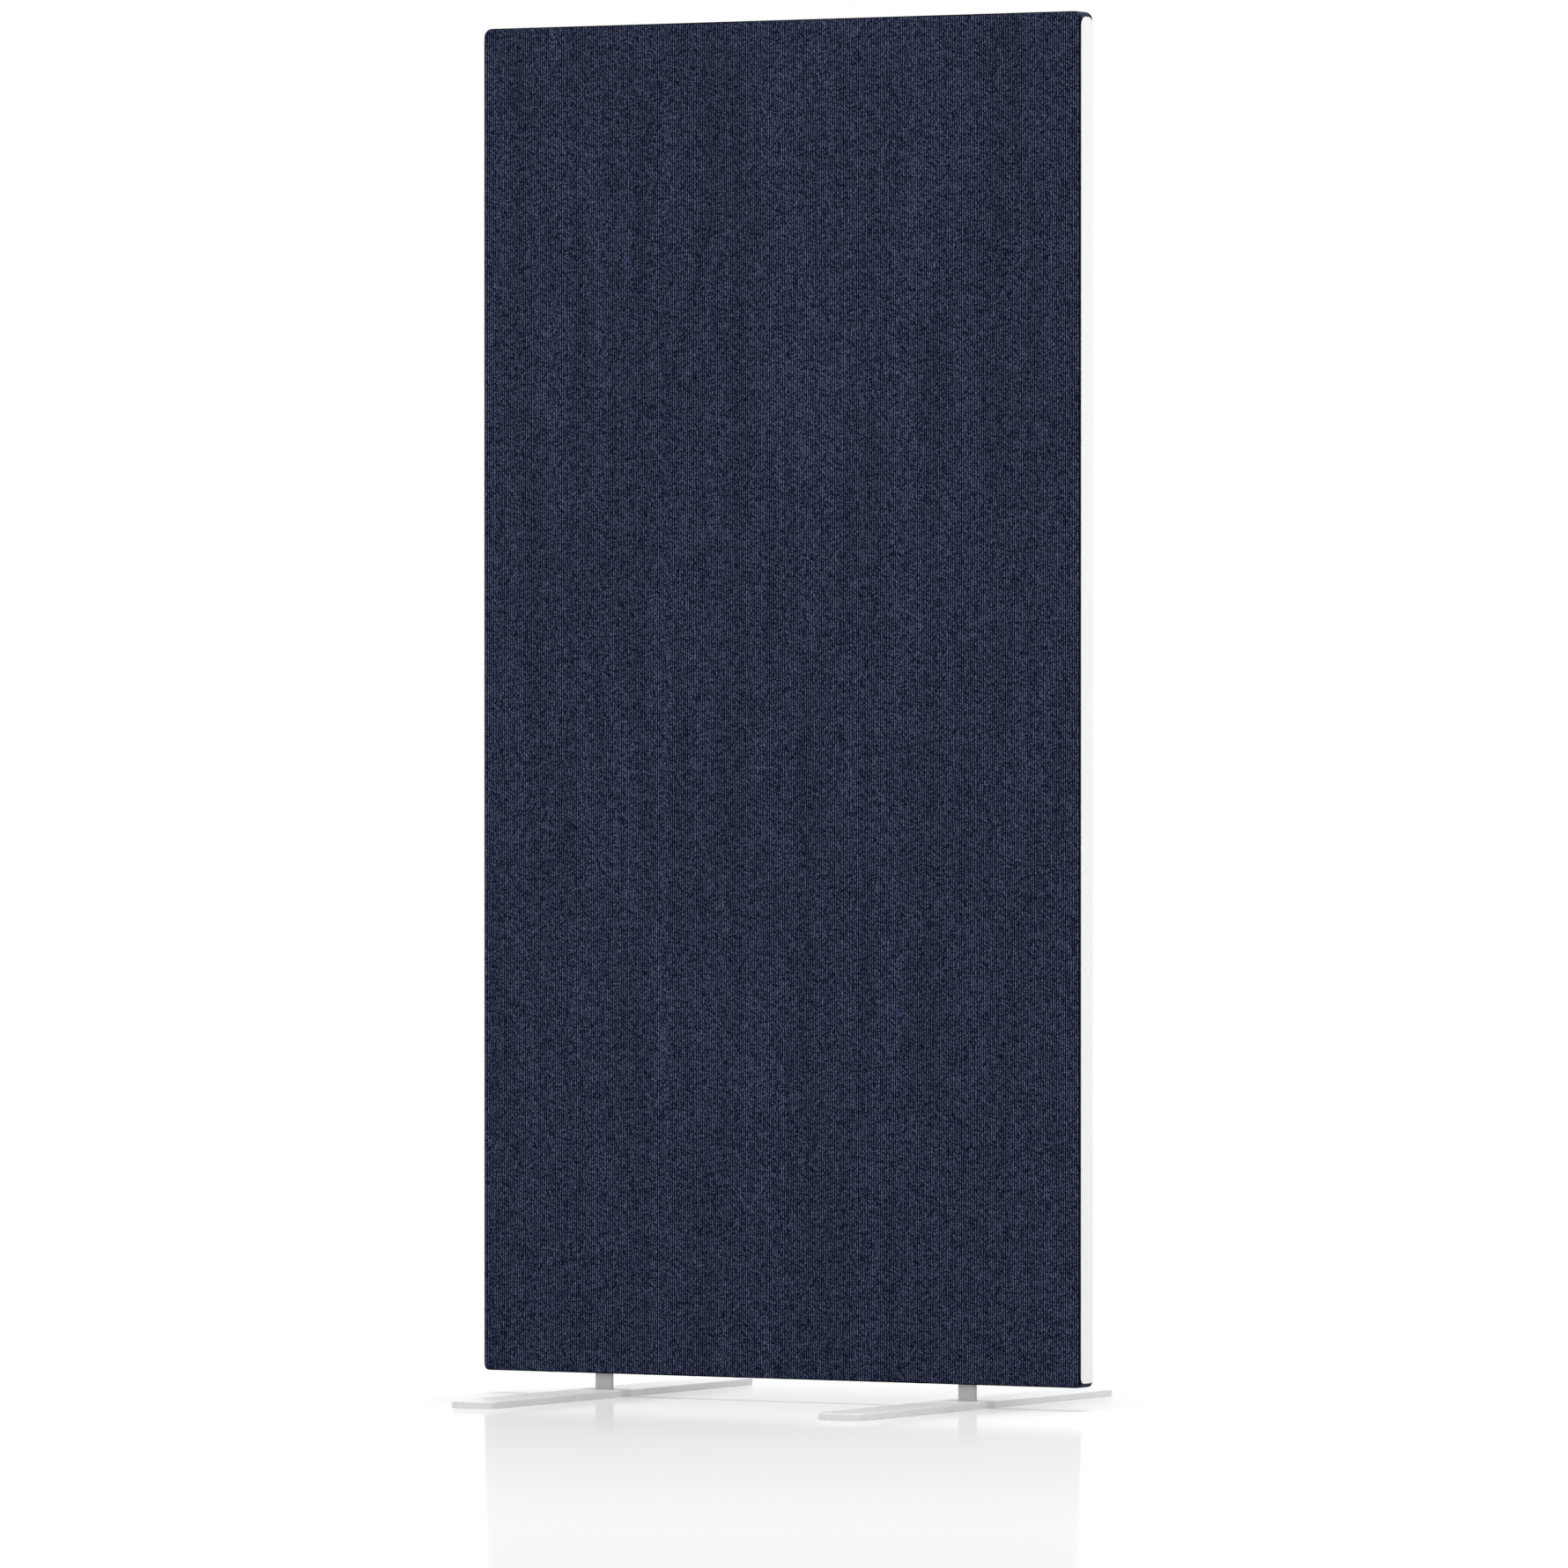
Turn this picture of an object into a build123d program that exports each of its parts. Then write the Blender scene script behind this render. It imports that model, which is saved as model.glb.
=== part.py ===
from build123d import *
import os

# A free-standing acoustic divider screen: a cloth-covered panel on two flat steel feet.
# The origin is on the floor under the middle of the panel. X runs along the panel's width,
# the front faces -Y and +Z is up. Lengths are in millimetres.

# Whole screen
screen_width = 800.0
screen_height = 1600.0

# Layers of the panel, from its middle to its face
board_thickness = 18.0
facing_thickness = 5.0
cloth_thickness = 1.0

# Timber frame
stile_width = 45.0
top_rail_height = 45.0
middle_rail_height = 45.0
bottom_rail_height = 120.0
middle_rail_share = 0.5  # place of the middle rail's centre, up the frame's height
frame_top_radius = 9.5
frame_bottom_radius = 5.5

# Dowels, two in each joint of the frame
dowel_radius = 4.0
dowel_length = 40.0
dowel_chamfer = 1.0
dowel_play = 0.05
dowel_end_room = 0.5
dowel_spacing_share = 0.5  # distance between a joint's two dowels, of its rail's height

# Facings and cover
facing_rim_radius = 1.5
cover_ease = 0.5  # the cover's inner corners and rims are tighter than the panel's by this
cover_slit = 0.6  # between the two ends of the cloth, under the panel

# Staples that close the cover under the panel
staple_crown = 10.0
staple_wire_width = 1.2
staple_wire_thickness = 0.6
staple_leg_length = 8.0
staple_row_inset = 5.0  # from the panel's mid-plane to a row
staple_count = 7  # in a row, between the sockets

# Edge strips: a flat cap on the panel's side and a tongue in a kerf of the stile
strip_side_margin = 1.5
strip_top_margin = 6.5
strip_bottom_margin = 5.0
strip_cap_thickness = 1.2
strip_top_radius = 11.0
strip_bottom_radius = 6.0
strip_rim_radius = 0.5
tongue_thickness = 2.0
tongue_depth = 9.0
tongue_end_margin = 14.0
tongue_play = 0.1
kerf_end_room = 1.0

# Feet
post_inset = 157.0  # from the screen's side to an upright's middle
post_width = 22.0
post_thickness = 5.0
post_show = 19.0
post_edge_radius = 0.6
post_lead = 1.0
tenon_width = 16.0
tenon_play = 0.1
plate_width = 60.0
plate_length = 610.0
plate_thickness = 7.0
plate_corner_radius = 17.0
plate_rim_radius = 1.0
pad_thickness = 1.0
pad_inset = 0.5  # from the foot plate's outline

# Sockets: folded steel sleeves that take the uprights, each with a screwed flange
socket_depth = 100.0
socket_wall = 1.5
socket_play = 0.2
flange_length = 60.0
flange_width = 16.0
flange_thickness = 1.5
flange_corner_radius = 3.0
pocket_play = 0.1
cover_post_room = 0.3
screw_radius = 2.0
screw_head_radius = 3.5
screw_length = 25.0
screw_play = 0.05

# Panel and frame
panel_thickness = board_thickness + 2 * (facing_thickness + cloth_thickness)
panel_width = screen_width - 2 * strip_cap_thickness
panel_bottom = pad_thickness + plate_thickness + post_show
panel_height = screen_height - panel_bottom
panel_middle = panel_bottom + panel_height / 2
frame_width = panel_width - 2 * cloth_thickness
frame_height = panel_height - 2 * cloth_thickness
frame_bottom = panel_bottom + cloth_thickness
frame_top = frame_bottom + frame_height
rail_length = frame_width - 2 * stile_width

# Rails, by name: the height of each and the height of its middle above the floor
rail_heights = {
    "top": top_rail_height,
    "middle": middle_rail_height,
    "bottom": bottom_rail_height,
}
rail_middles = {
    "top": frame_top - top_rail_height / 2,
    "middle": frame_bottom + middle_rail_share * frame_height,
    "bottom": frame_bottom + bottom_rail_height / 2,
}

# Edge strips and kerfs
strip_width = panel_thickness - 2 * strip_side_margin
strip_bottom = panel_bottom + strip_bottom_margin
strip_length = screen_height - strip_top_margin - strip_bottom
strip_middle = strip_bottom + strip_length / 2
tongue_length = strip_length - 2 * tongue_end_margin
tongue_slot = tongue_thickness + 2 * tongue_play
kerf_length = tongue_length + 2 * kerf_end_room
kerf_width = tongue_slot + 2 * cloth_thickness
turn_in = tongue_depth - cloth_thickness

# Feet and sockets
post_x = screen_width / 2 - post_inset
plate_top = pad_thickness + plate_thickness
upright_top = frame_bottom + socket_depth - socket_wall
bore_width = post_width + 2 * socket_play
bore_thickness = post_thickness + 2 * socket_play
sleeve_width = bore_width + 2 * socket_wall
sleeve_thickness = bore_thickness + 2 * socket_wall
screw_offset = (sleeve_width + flange_length) / 4

# Planes of the panel: its mid-plane seen from the front and from the rear
front = Plane(origin=(0, 0, panel_middle), x_dir=(1, 0, 0), z_dir=(0, -1, 0))
rear = Plane(origin=(0, 0, panel_middle), x_dir=(-1, 0, 0), z_dir=(0, 1, 0))
sides = ((-1, "left"), (1, "right"))


def side_plane(side):
    """The plane of the panel's side face, looking outwards, at the middle of the strip."""
    origin = (side * panel_width / 2, 0, strip_middle)
    return Plane(origin=origin, x_dir=(0, side, 0), z_dir=(side, 0, 0))


def outer_rim(plane):
    """The edges round the open part's outermost face in the plane's direction."""
    return faces().sort_by(Axis(plane.origin, plane.z_dir))[-1].edges()


def draw_outline(width, height, top_radius, bottom_radius):
    """Draws an upright rectangle with rounded corners in the open sketch."""
    Rectangle(width, height)
    fillet(vertices().group_by(Axis.Y)[-1], top_radius)
    fillet(vertices().group_by(Axis.Y)[0], bottom_radius)


def rounded_slab(width, height, thickness, top_radius, bottom_radius, rim_radius):
    """A slab on the panel's mid-plane, rounded at its corners and along both rims."""
    with BuildPart() as slab:
        with BuildSketch(front):
            draw_outline(width, height, top_radius, bottom_radius)
        extrude(amount=thickness / 2, both=True)
        fillet(outer_rim(front) + outer_rim(rear), rim_radius)
    return slab.part


def countersunk_screw(play):
    """A screw standing on its head at the origin, larger by the play all round."""
    head_depth = screw_head_radius - screw_radius
    with BuildPart() as screw:
        with BuildSketch(Plane.XZ):
            with BuildLine():
                Polyline(
                    (0, 0),
                    (screw_head_radius + play, 0),
                    (screw_radius + play, head_depth),
                    (screw_radius + play, screw_length + play),
                    (0, screw_length + play),
                    close=True,
                )
            make_face()
        revolve(axis=Axis.Z)
    return screw.part


def dowel_heights(name):
    """The heights of a rail's two dowels above the floor."""
    spread = dowel_spacing_share * rail_heights[name] / 2
    return (rail_middles[name] - spread, rail_middles[name] + spread)


def staple_places():
    """The middle of each staple: two rows between the sockets, and a pair outside each."""
    flange_end = flange_length / 2
    spacing = 2 * (post_x - flange_end) / staple_count
    first = (1 - staple_count) / 2
    along = [(first + i) * spacing for i in range(staple_count)]
    outside = (post_x + flange_end + rail_length / 2) / 2
    along += [-outside, outside]
    return [(x, row * staple_row_inset) for x in along for row in (-1, 1)]


def draw_staple_legs():
    """Draws the legs of every staple in the open sketch."""
    leg_x = (staple_crown - staple_wire_thickness) / 2
    legs = [(x + end * leg_x, y) for x, y in staple_places() for end in (-1, 1)]
    with Locations(*legs):
        Rectangle(staple_wire_thickness, staple_wire_width)


os.makedirs("parts", exist_ok=True)
screw_space = countersunk_screw(screw_play)
screw_shape = countersunk_screw(0)
screw_places = [
    (side * post_x + end * screw_offset, 0, frame_bottom) for side in (-1, 1) for end in (-1, 1)
]

# Cover: one wrap of cloth round the whole panel. Its side edges turn into the kerfs, and its
# two ends meet under the panel.
cover_outside = rounded_slab(
    panel_width,
    panel_height,
    panel_thickness,
    frame_top_radius - cover_ease + cloth_thickness,
    frame_bottom_radius - cover_ease + cloth_thickness,
    facing_rim_radius - cover_ease + cloth_thickness,
)
cover_inside = rounded_slab(
    frame_width,
    frame_height,
    panel_thickness - 2 * cloth_thickness,
    frame_top_radius - cover_ease,
    frame_bottom_radius - cover_ease,
    facing_rim_radius - cover_ease,
)
with BuildPart() as cover:
    add(cover_outside)
    add(cover_inside, mode=Mode.SUBTRACT)
    for side, name in sides:
        with BuildSketch(side_plane(side)):
            Rectangle(kerf_width, kerf_length)
        extrude(amount=-tongue_depth)
        with BuildSketch(side_plane(side)):
            Rectangle(tongue_slot, kerf_length)
        extrude(amount=-tongue_depth, mode=Mode.SUBTRACT)
    with BuildSketch(Plane.XY.offset(panel_bottom)):
        Rectangle(panel_width - 2 * (frame_bottom_radius + cloth_thickness), cover_slit)
        with Locations((-post_x, 0), (post_x, 0)):
            Rectangle(post_width + 2 * cover_post_room, post_thickness + 2 * cover_post_room)
        draw_staple_legs()
    extrude(amount=cloth_thickness, mode=Mode.SUBTRACT)
cover.part.label = "cover"
export_step(cover.part, "parts/cover.step")

# Cover staples: each has a crown against the cloth and two legs up into the bottom rail
with BuildPart() as staples:
    with BuildSketch(Plane.XY.offset(panel_bottom - staple_wire_thickness)):
        with Locations(*staple_places()):
            Rectangle(staple_crown, staple_wire_width)
    extrude(amount=staple_wire_thickness)
    with BuildSketch(Plane.XY.offset(panel_bottom)):
        draw_staple_legs()
    extrude(amount=staple_leg_length)
staples.part.label = "cover_staples"
export_step(staples.part, "parts/cover_staples.step")

# Facings: thin foam sheets on the frame's front and rear, under the cover
for name, face in (("front", front), ("rear", rear)):
    with BuildPart() as facing:
        with BuildSketch(face.offset(board_thickness / 2)):
            draw_outline(frame_width, frame_height, frame_top_radius, frame_bottom_radius)
        extrude(amount=facing_thickness)
        fillet(outer_rim(face), facing_rim_radius)
    facing.part.label = f"facing_{name}"
    export_step(facing.part, f"parts/facing_{name}.step")

# Stiles: the frame's upright boards, with a kerf for the edge strip down the outer side
for side, name in sides:
    with BuildPart() as stile:
        with BuildSketch(front):
            with Locations((side * (frame_width - stile_width) / 2, 0)):
                Rectangle(stile_width, frame_height)
            outwards = Axis((0, 0, 0), (side, 0, 0))
            fillet(vertices().sort_by(Axis.Y)[2:].sort_by(outwards)[-1], frame_top_radius)
            fillet(vertices().sort_by(Axis.Y)[:2].sort_by(outwards)[-1], frame_bottom_radius)
        extrude(amount=board_thickness / 2, both=True)
        with BuildSketch(side_plane(side).offset(-cloth_thickness)):
            Rectangle(kerf_width, kerf_length)
        extrude(amount=-(turn_in + kerf_end_room), mode=Mode.SUBTRACT)
        with BuildSketch(Plane.YZ.offset(side * rail_length / 2)):
            with Locations(*[(0, z) for rail in rail_heights for z in dowel_heights(rail)]):
                Circle(dowel_radius + dowel_play)
        extrude(amount=side * (dowel_length / 2 + dowel_end_room), mode=Mode.SUBTRACT)
    stile.part.label = f"stile_{name}"
    export_step(stile.part, f"parts/stile_{name}.step")

# Rails: the frame's cross boards. The bottom one is deep, and holds the sockets.
for name, height in rail_heights.items():
    with BuildPart() as rail:
        with BuildSketch(Plane.XZ):
            with Locations((0, rail_middles[name])):
                Rectangle(rail_length, height)
        extrude(amount=board_thickness / 2, both=True)
        for side, _ in sides:
            with BuildSketch(Plane.YZ.offset(side * rail_length / 2)):
                with Locations(*[(0, z) for z in dowel_heights(name)]):
                    Circle(dowel_radius + dowel_play)
            extrude(amount=-side * (dowel_length / 2 + dowel_end_room), mode=Mode.SUBTRACT)
        if name == "bottom":
            with BuildSketch(Plane.XY.offset(frame_bottom)):
                with Locations((-post_x, 0), (post_x, 0)):
                    RectangleRounded(
                        flange_length + 2 * pocket_play,
                        flange_width + 2 * pocket_play,
                        flange_corner_radius + pocket_play,
                    )
            extrude(amount=flange_thickness, mode=Mode.SUBTRACT)
            with BuildSketch(Plane.XY.offset(frame_bottom)):
                with Locations((-post_x, 0), (post_x, 0)):
                    Rectangle(sleeve_width + 2 * pocket_play, sleeve_thickness + 2 * pocket_play)
            extrude(amount=socket_depth, mode=Mode.SUBTRACT)
            with Locations(*screw_places):
                add(screw_space, mode=Mode.SUBTRACT)
            with BuildSketch(Plane.XY.offset(frame_bottom)):
                draw_staple_legs()
            extrude(amount=staple_leg_length - cloth_thickness, mode=Mode.SUBTRACT)
    rail.part.label = f"rail_{name}"
    export_step(rail.part, f"parts/rail_{name}.step")

# Frame dowels: two at each end of each rail, half in the rail and half in the stile
with BuildPart() as dowels:
    for side, _ in sides:
        with BuildSketch(Plane.YZ.offset(side * rail_length / 2)):
            with Locations(*[(0, z) for rail in rail_heights for z in dowel_heights(rail)]):
                Circle(dowel_radius)
        extrude(amount=dowel_length / 2, both=True)
    chamfer(edges().filter_by(GeomType.CIRCLE), dowel_chamfer)
dowels.part.label = "frame_dowels"
export_step(dowels.part, "parts/frame_dowels.step")

# Absorbers: felt slabs that fill the frame above and below the middle rail
for name, below, above in (("upper", "middle", "top"), ("lower", "bottom", "middle")):
    slab_bottom = rail_middles[below] + rail_heights[below] / 2
    slab_top = rail_middles[above] - rail_heights[above] / 2
    with BuildPart() as absorber:
        with BuildSketch(Plane.XZ):
            with Locations((0, (slab_bottom + slab_top) / 2)):
                Rectangle(rail_length, slab_top - slab_bottom)
        extrude(amount=board_thickness / 2, both=True)
    absorber.part.label = f"absorber_{name}"
    export_step(absorber.part, f"parts/absorber_{name}.step")

# Edge strips: the cap lies on the cover, and the tongue holds its turned-in edges in the kerf
for side, name in sides:
    with BuildPart() as strip:
        with BuildSketch(side_plane(side)):
            draw_outline(strip_width, strip_length, strip_top_radius, strip_bottom_radius)
        extrude(amount=strip_cap_thickness)
        fillet(outer_rim(side_plane(side)), strip_rim_radius)
        with BuildSketch(side_plane(side)):
            Rectangle(tongue_thickness, tongue_length)
        extrude(amount=-tongue_depth)
    strip.part.label = f"edge_strip_{name}"
    export_step(strip.part, f"parts/edge_strip_{name}.step")

# Sockets: a sleeve closed at its top, on which the panel stands, and a flange let into the rail
for side, name in sides:
    with BuildPart() as socket:
        with BuildSketch(Plane.XY.offset(frame_bottom)):
            with Locations((side * post_x, 0)):
                RectangleRounded(flange_length, flange_width, flange_corner_radius)
        extrude(amount=flange_thickness)
        with BuildSketch(Plane.XY.offset(frame_bottom)):
            with Locations((side * post_x, 0)):
                Rectangle(sleeve_width, sleeve_thickness)
        extrude(amount=socket_depth)
        with BuildSketch(Plane.XY.offset(frame_bottom)):
            with Locations((side * post_x, 0)):
                Rectangle(bore_width, bore_thickness)
        extrude(amount=socket_depth - socket_wall, mode=Mode.SUBTRACT)
        with Locations(*[place for place in screw_places if side * place[0] > 0]):
            add(screw_space, mode=Mode.SUBTRACT)
    socket.part.label = f"socket_{name}"
    export_step(socket.part, f"parts/socket_{name}.step")

# Socket screws: countersunk wood screws, two through each flange into the bottom rail
with BuildPart() as screws:
    with Locations(*screw_places):
        add(screw_shape)
screws.part.label = "socket_screws"
export_step(screws.part, "parts/socket_screws.step")

# Uprights: flat bars from the feet into the sockets, each with a tenon through its foot plate
for side, name in sides:
    with BuildPart() as upright:
        with BuildSketch(Plane.XZ):
            with Locations((side * post_x, (plate_top + upright_top) / 2)):
                Rectangle(post_width, upright_top - plate_top)
            with Locations((side * post_x, pad_thickness + plate_thickness / 2)):
                Rectangle(tenon_width, plate_thickness)
        extrude(amount=post_thickness / 2, both=True)
        chamfer(faces().sort_by(Axis.Z)[-1].edges(), post_lead)
        fillet(edges().filter_by(Axis.Z).group_by(SortBy.LENGTH)[-1], post_edge_radius)
    upright.part.label = f"upright_{name}"
    export_step(upright.part, f"parts/upright_{name}.step")

# Foot plates: flat bars with round corners, across the panel's line
for side, name in sides:
    with BuildPart() as plate:
        with BuildSketch(Plane.XY.offset(pad_thickness)):
            with Locations((side * post_x, 0)):
                RectangleRounded(plate_width, plate_length, plate_corner_radius)
        extrude(amount=plate_thickness)
        fillet(faces().sort_by(Axis.Z)[-1].edges(), plate_rim_radius)
        with BuildSketch(Plane.XY.offset(pad_thickness)):
            with Locations((side * post_x, 0)):
                Rectangle(tenon_width + 2 * tenon_play, post_thickness + 2 * tenon_play)
        extrude(amount=plate_thickness, mode=Mode.SUBTRACT)
    plate.part.label = f"foot_plate_{name}"
    export_step(plate.part, f"parts/foot_plate_{name}.step")

# Foot pads: a thin soft sheet under each plate, just inside its outline
for side, name in sides:
    with BuildPart() as pad:
        with BuildSketch(Plane.XY):
            with Locations((side * post_x, 0)):
                RectangleRounded(
                    plate_width - 2 * pad_inset,
                    plate_length - 2 * pad_inset,
                    plate_corner_radius - pad_inset,
                )
        extrude(amount=pad_thickness)
    pad.part.label = f"foot_pad_{name}"
    export_step(pad.part, f"parts/foot_pad_{name}.step")
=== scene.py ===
import math
import random

import bmesh
import bpy
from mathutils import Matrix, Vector, noise


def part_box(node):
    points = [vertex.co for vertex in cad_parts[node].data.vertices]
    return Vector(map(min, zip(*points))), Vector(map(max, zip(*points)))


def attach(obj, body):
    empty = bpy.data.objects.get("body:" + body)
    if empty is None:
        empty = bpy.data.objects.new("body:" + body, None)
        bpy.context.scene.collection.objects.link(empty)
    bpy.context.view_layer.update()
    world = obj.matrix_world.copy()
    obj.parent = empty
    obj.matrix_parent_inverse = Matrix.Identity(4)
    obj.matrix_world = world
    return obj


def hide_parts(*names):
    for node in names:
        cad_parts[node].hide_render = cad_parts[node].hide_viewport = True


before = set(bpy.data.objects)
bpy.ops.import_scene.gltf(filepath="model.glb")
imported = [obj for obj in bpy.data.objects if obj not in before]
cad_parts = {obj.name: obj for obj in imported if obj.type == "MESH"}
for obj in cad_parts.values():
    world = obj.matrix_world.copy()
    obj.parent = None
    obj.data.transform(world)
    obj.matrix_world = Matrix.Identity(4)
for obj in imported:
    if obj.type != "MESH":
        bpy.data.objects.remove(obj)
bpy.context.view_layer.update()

# A free-standing acoustic screen. The cloth, foam and felt are made here round the CAD pieces,
# and every other CAD piece keeps its shape and gets its finish. Lengths are in metres.
MM = 0.001
random.seed(17)

# Cloth cover: the sizes of the CAD cover, which is one wrap round the panel
COVER_LOW, COVER_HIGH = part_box("cover")
HALF_WIDTH = COVER_HIGH.x
HALF_THICKNESS = COVER_HIGH.y
TOP_RADIUS = 10 * MM
BOTTOM_RADIUS = 6 * MM
RIM_RADIUS = 2 * MM
CLOTH_THICKNESS = 1 * MM
SLIT = 0.6 * MM
POST_ROOM = 0.3 * MM
KERF_MOUTH = 3.1 * MM
KERF_WALL = 1.1 * MM
TURN_RADIUS = 1 * MM
TURN_IN = 9 * MM
TONGUE_MARGIN = 14 * MM
FACE_HALF_WIDTH = HALF_WIDTH - RIM_RADIUS
WRAP_TOP = COVER_HIGH.z - RIM_RADIUS + RIM_RADIUS * math.pi / 2 + HALF_THICKNESS - RIM_RADIUS

# Ribs of the knit
RIB_PITCH = 2.9 * MM
RIB_DEPTH = 0.7 * MM
RIB_JITTER = 0.06
RIB_PHASES = (0.0, 0.12, 0.3, 0.5, 0.7, 0.88)
RIB_ROUNDNESS = 0.6
COURSE = 2.3 * MM
WANDER = 0.45 * MM
WANDER_WIDTH = 70 * MM
WANDER_HEIGHT = 260 * MM
WANDER_MARGIN = 30 * MM
FACE_ROWS = 9
RIM_STEPS = 4
EDGE_SHARES = (0.85, 0.45, 0.0)
RIM_FLATTENING = 0.75
INNER_STEP = 60
LEAN_MARGIN = 0.01

# Pattern of the knit, in shares of a rib and of a course: where the painted shade of a valley is full
# and where the crest begins, how far a stitch leans, and the cells of its dashes and fibres
VALLEY_FROM = 0.36
VALLEY_SPREAD = 0.2
CREST_FROM = 0.12
STITCH_LEAN = 1.3
DASH_SHIFT = 7.31
DASH_SCALE = 0.6
FIBRES_ACROSS = 3
FIBRES_ALONG = 2.2
FIBRE_SCALE = 1.6
STREAKS = ((45 * MM, 900 * MM, 0.11), (28 * MM, 260 * MM, 0.11), (10 * MM, 300 * MM, 0.09))

# Tones of the knit: how far each thing moves a tone from 0 to 1, and the yarn's colour along it
CREST_TONE = 0.6
LEG_TONE = 0.92
DASH_TONE = 0.12
FIBRE_TONE = 0.6
TWIST_TONE = 0.2
YARN_TONES = (
    (0.0, (0.0005, 0.0007, 0.0045)),
    (0.3, (0.0058, 0.0089, 0.0276)),
    (0.6, (0.0312, 0.0409, 0.0872)),
    (1.0, (0.142, 0.169, 0.267)),
)
# Painted shade along the cloth's rims: where it is full, how dark it makes the yarn, and its share
# round the rear corners
RIM_SHADE_FROM = 0.3
RIM_SHADE_TONE = 0.12
CORNER_SHADE = 0.38

# Relief and gloss of the knit
YARN_BUMP = 0.2 * MM
TWIST_HEIGHT = 0.5
FIBRE_HEIGHT = 1.2
LEG_HEIGHT = 0.3
CLOTH_SHEEN = 0.01
CLOTH_SHEEN_ROUGHNESS = 0.6
CLOTH_SPECULAR = 0.04

# Foam and felt: room to the CAD solid, bottom and top radius, rims and unevenness
FOAM_ROOM = 0.1 * MM
FOAM_RADII = (5.5 * MM, 9.5 * MM)
FOAM_RIM = 1.2 * MM
FOAM_WAVE = 0.12 * MM
FELT_ROOM = 0.4 * MM
FELT_RADII = (3 * MM, 3 * MM)
FELT_RIM = 3 * MM
FELT_WAVE = 0.6 * MM
SOFT_STEP = 45 * MM
SOFT_RIM_STEPS = 3
OUTLINE_STEPS = 5
LEVEL_MARGIN = 0.1 * MM

# Finishes: sizes of their patterns (across and along, where there are two), depths, tones and
# roughness. Most of a noise lies in the first range.
NOISE_RANGE = (0.3, 0.7)
FOAM_PORE = 1.4 * MM
FOAM_PORE_SHADE_RANGE = (0.1, 0.6)
FOAM_PATCH = 90 * MM
FOAM_PATCH_TONE = (0.92, 1.08)
FOAM_DEPTH = 0.4 * MM
FOAM_TONES = ((0.16, 0.16, 0.165), (0.30, 0.30, 0.31))

FELT_FIBRE = 3 * MM
FELT_FLECK = 5 * MM
FELT_DEPTH = 0.8 * MM
FELT_TONES = ((0.42, 0.42, 0.40), (0.60, 0.60, 0.58))
FLECK_RANGE = (0.62, 0.7)
FLECK_SHARE = 0.7
FLECK_TONE = (0.16, 0.17, 0.2)

RING_SIZE = (14 * MM, 320 * MM)
RING_COUNT = 9.0
TIMBER_PORE = (0.9 * MM, 30 * MM)
TIMBER_PORE_TONE = (0.88, 1.08)
TIMBER_DEPTH = 0.08 * MM
TIMBER_ROUGHNESS = (0.65, 0.48)
PINE_TONES = ((0.66, 0.48, 0.28), (0.50, 0.31, 0.15))
BEECH_TONES = ((0.72, 0.52, 0.34), (0.60, 0.40, 0.24))

SPANGLE = 6 * MM
ZINC_SCUFF = 1.5 * MM
ZINC_DEPTH = 0.03 * MM
ZINC_ROUGHNESS = (0.26, 0.46)
ZINC_TONES = ((0.55, 0.56, 0.575), (0.66, 0.665, 0.67))

STRIP_LINE = (1.2 * MM, 90 * MM)
STRIP_LINE_TONE = (0.985, 1.01)
STRIP_GRAIN = 0.7 * MM
STRIP_CLOUD = 60 * MM
STRIP_DEPTH = 0.03 * MM
STRIP_ROUGHNESS = (0.34, 0.48)
STRIP_TONES = ((0.823, 0.829, 0.83), (0.855, 0.859, 0.855))

PEEL = 1.6 * MM
PEEL_DEPTH = 0.04 * MM
FLAKE = 0.45 * MM
LACQUER_CLOUD = 80 * MM
LACQUER_CLOUD_TONE = (0.97, 1.03)
LACQUER_SPECULAR = 0.4
LACQUER_ROUGHNESS = (0.34, 0.48)
LACQUER_ROUGH_RANGE = (0.3, 1.2)
SCUFF = (3 * MM, 26 * MM)
SCUFF_RANGE = (0.62, 0.72)
SCUFF_SHARE = 0.12
SCUFF_TONE = (0.7, 0.7, 0.7)
# The uprights' tones are the plates' lacquer made darker: painted shade under the panel
POST_SHADED_TONES = ((0.475, 0.479, 0.483), (0.515, 0.519, 0.523))
PLATE_TONES = ((0.69, 0.694, 0.698), (0.74, 0.744, 0.748))

RUBBER_GRAIN = 0.8 * MM
RUBBER_DEPTH = 0.06 * MM
# Near white: the pads' pale colour raised to a painted highlight under the plates
RUBBER_TONES = ((0.90, 0.90, 0.89), (0.95, 0.95, 0.94))

# Camera, fitted to the photograph
CAMERA_PLACE = (7.3409, -12.6966, 0.8193)
CAMERA_YAW = 30.038
CAMERA_PITCH = -0.404
CAMERA_LENS = 290.66
SENSOR = 36.0

# Lamps round the screen and above it, with their sizes and powers in watts
LAMP_TARGET = (0.0, 0.0, 0.8)
LAMPS = (
    ("key_front", (-2.6, -7.0, 1.6), 4.0, 130),
    ("fill_right", (7.0, -2.2, 0.9), 4.0, 150),
    ("fill_left", (-7.0, 2.2, 0.9), 4.0, 120),
    ("back", (2.6, 7.0, 1.6), 4.0, 110),
    ("above", (0.0, 0.0, 9.0), 6.0, 900),
)
AMBIENT = 0.55

# Floor: its tone for light and for the camera, its glow near and far, and its mirror
FLOOR_REACH = 40.0
FLOOR_SIDES = 96
FLOOR_ALBEDO = 0.5
FLOOR_SHADED = 0.7
FLOOR_GLOW = 0.22
FLOOR_FAR_GLOW = 1.12
FLOOR_FADE_FROM = 2.2
FLOOR_FADE_TO = 4.5
MIRROR_SHARE = 0.47
MIRROR_FALL = 5.0
MIRROR_ROUGHNESS = 0.11


# Meshes

def link_object(name, data):
    """A new object in the scene that shows a mesh, a lamp or a camera."""
    made = bpy.data.objects.new(name, data)
    bpy.context.scene.collection.objects.link(made)
    return made


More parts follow.
